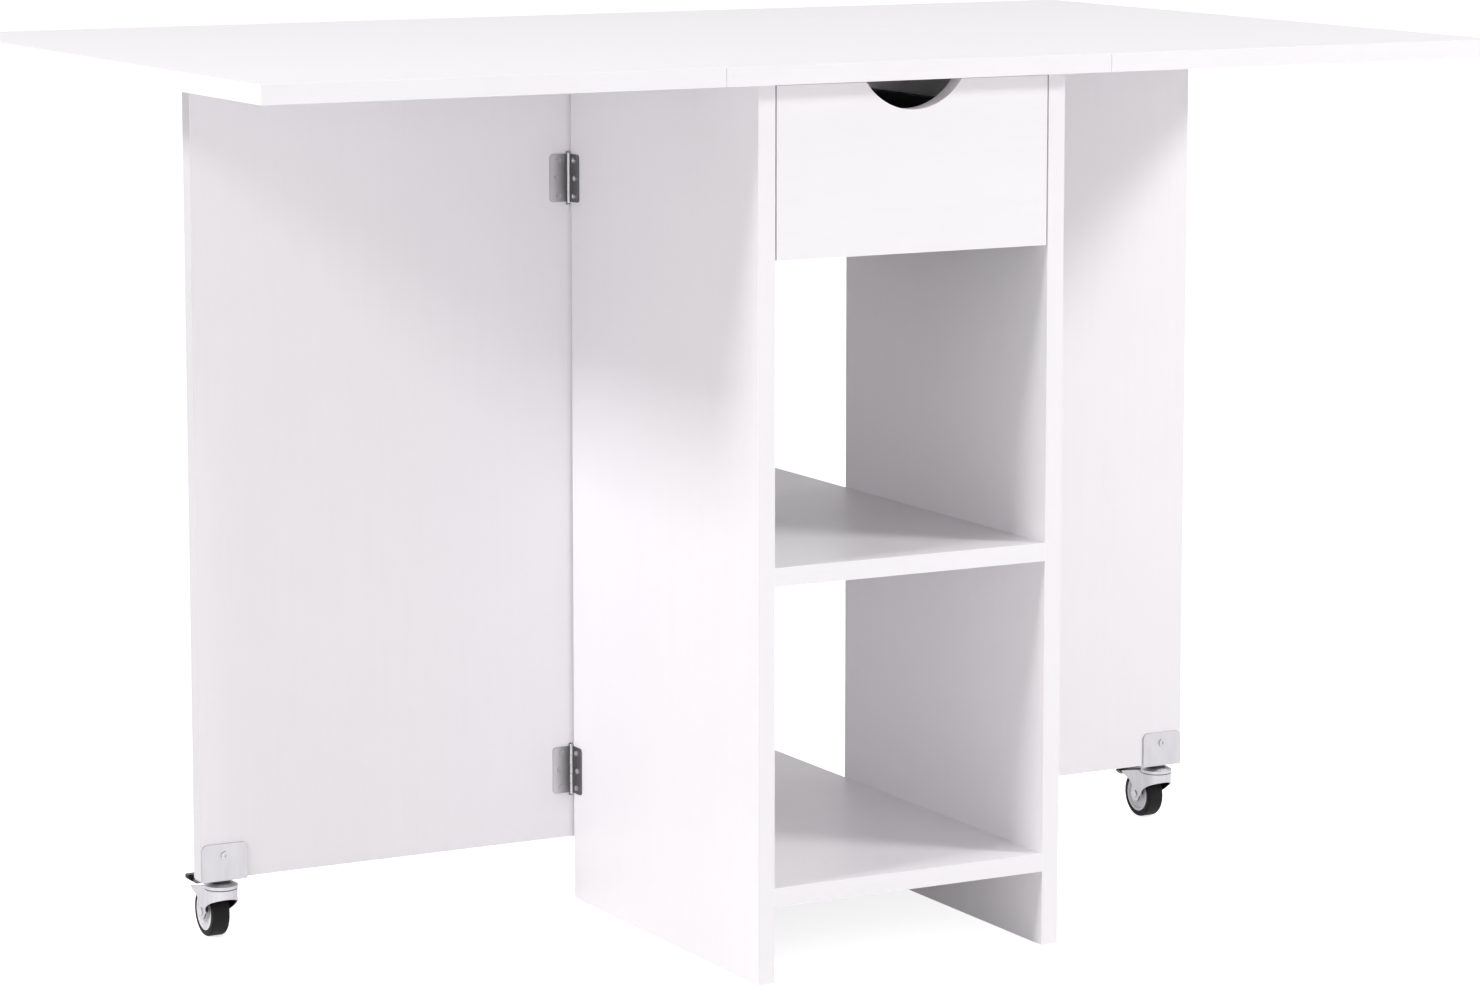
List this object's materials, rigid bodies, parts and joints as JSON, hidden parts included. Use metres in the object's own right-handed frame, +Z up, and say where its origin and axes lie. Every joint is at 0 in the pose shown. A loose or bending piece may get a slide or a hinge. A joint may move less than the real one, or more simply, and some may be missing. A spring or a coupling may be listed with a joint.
{
  "type": "drop-leaf kitchen cart",
  "caption": "Narrow kitchen cart with a drawer and open shelves under a long drop-leaf top; gates on braked casters swing out to carry the leaves and fold away beside the carcass.",
  "frame": {"origin": "on the floor under the centre of the table top", "axes": "+X to the right along the long top, +Y to the rear, +Z up; the drawer opens towards -Y"},
  "size_m": [1.12, 0.7, 0.73],
  "materials": {
    "white_laminate": "white melamine faced particle board, satin",
    "hinge_steel": "plain steel, satin",
    "zinc_steel": "bright zinc plated steel",
    "hub_plastic": "light grey plastic",
    "tyre_rubber": "black soft tread, satin",
    "black_plastic": "black plastic",
    "beech": "raw beech dowel"
  },
  "bodies": {
    "cart": {"top_centre": "white_laminate", "top_leaf_left": "white_laminate", "top_leaf_right": "white_laminate", "side_panel_left": "white_laminate", "side_panel_right": "white_laminate", "back_panel": "white_laminate", "shelf_middle": "white_laminate", "shelf_bottom": "white_laminate", "drawer_runner_left": "white_laminate", "drawer_runner_right": "white_laminate", "runner_screws": "zinc_steel", "leaf_hinge_fixed_plates": "hinge_steel", "leaf_hinge_leaf_plates": "hinge_steel", "leaf_hinge_pins": "hinge_steel", "leaf_hinge_screws": "hinge_steel", "carcass_cams": "zinc_steel", "carcass_cam_bolts": "zinc_steel", "carcass_dowels": "beech", "hinge_upper_left_panel_leaf": "hinge_steel", "hinge_lower_left_panel_leaf": "hinge_steel", "hinge_upper_right_panel_leaf": "hinge_steel", "hinge_lower_right_panel_leaf": "hinge_steel", "gate_hinge_pins_left": "hinge_steel", "gate_hinge_pins_right": "hinge_steel", "panel_hinge_screws_left": "hinge_steel", "panel_hinge_screws_right": "hinge_steel"},
    "drawer": {"drawer_front": "white_laminate", "drawer_side_left": "white_laminate", "drawer_side_right": "white_laminate", "drawer_back": "white_laminate", "drawer_bottom": "white_laminate", "drawer_cams": "zinc_steel", "drawer_cam_bolts": "zinc_steel", "drawer_screws": "zinc_steel"},
    "gate_left": {"gate_left": "white_laminate", "hinge_upper_left_gate_leaf": "hinge_steel", "hinge_lower_left_gate_leaf": "hinge_steel", "gate_screws_left": "hinge_steel", "caster_bracket_left": "zinc_steel", "kingpin_left": "zinc_steel"},
    "caster_left": {"caster_fork_left": "zinc_steel", "swivel_cover_left": "black_plastic", "axle_left": "zinc_steel", "pedal_pin_left": "zinc_steel"},
    "wheel_left": {"wheel_hub_left": "hub_plastic", "tyre_left": "tyre_rubber"},
    "brake_left": {"brake_pedal_left": "black_plastic"},
    "gate_right": {"gate_right": "white_laminate", "hinge_upper_right_gate_leaf": "hinge_steel", "hinge_lower_right_gate_leaf": "hinge_steel", "gate_screws_right": "hinge_steel", "caster_bracket_right": "zinc_steel", "kingpin_right": "zinc_steel"},
    "caster_right": {"caster_fork_right": "zinc_steel", "swivel_cover_right": "black_plastic", "axle_right": "zinc_steel", "pedal_pin_right": "zinc_steel"},
    "wheel_right": {"wheel_hub_right": "hub_plastic", "tyre_right": "tyre_rubber"},
    "brake_right": {"brake_pedal_right": "black_plastic"}
  },
  "joints": [
    {"name": "drawer_slide", "type": "slide", "parent": "cart", "child": "drawer", "axis": [0, -1, 0], "range_m": [0, 0.2]},
    {"name": "gate_left_fold", "type": "hinge", "parent": "cart", "child": "gate_left", "pos_m": [-0.141, -0.0075, 0.3835], "axis": [0, 0, -1], "range_deg": [0, 90]},
    {"name": "gate_right_fold", "type": "hinge", "parent": "cart", "child": "gate_right", "pos_m": [0.141, -0.0075, 0.3835], "axis": [0, 0, 1], "range_deg": [0, 90]},
    {"name": "caster_left_swivel", "type": "hinge", "parent": "gate_left", "child": "caster_left", "pos_m": [-0.459, 0, 0.048], "axis": [0, 0, 1], "continuous": true},
    {"name": "wheel_left_spin", "type": "hinge", "parent": "caster_left", "child": "wheel_left", "pos_m": [-0.459, 0.02, 0.021], "axis": [1, 0, 0], "continuous": true},
    {"name": "brake_left_press", "type": "hinge", "parent": "caster_left", "child": "brake_left", "pos_m": [-0.459, 0.012, 0.0433], "axis": [1, 0, 0], "range_deg": [-10, 0]},
    {"name": "caster_right_swivel", "type": "hinge", "parent": "gate_right", "child": "caster_right", "pos_m": [0.459, 0, 0.048], "axis": [0, 0, 1], "continuous": true},
    {"name": "wheel_right_spin", "type": "hinge", "parent": "caster_right", "child": "wheel_right", "pos_m": [0.459, 0.02, 0.021], "axis": [1, 0, 0], "continuous": true},
    {"name": "brake_right_press", "type": "hinge", "parent": "caster_right", "child": "brake_right", "pos_m": [0.459, 0.012, 0.0433], "axis": [1, 0, 0], "range_deg": [0, 10]}
  ]
}
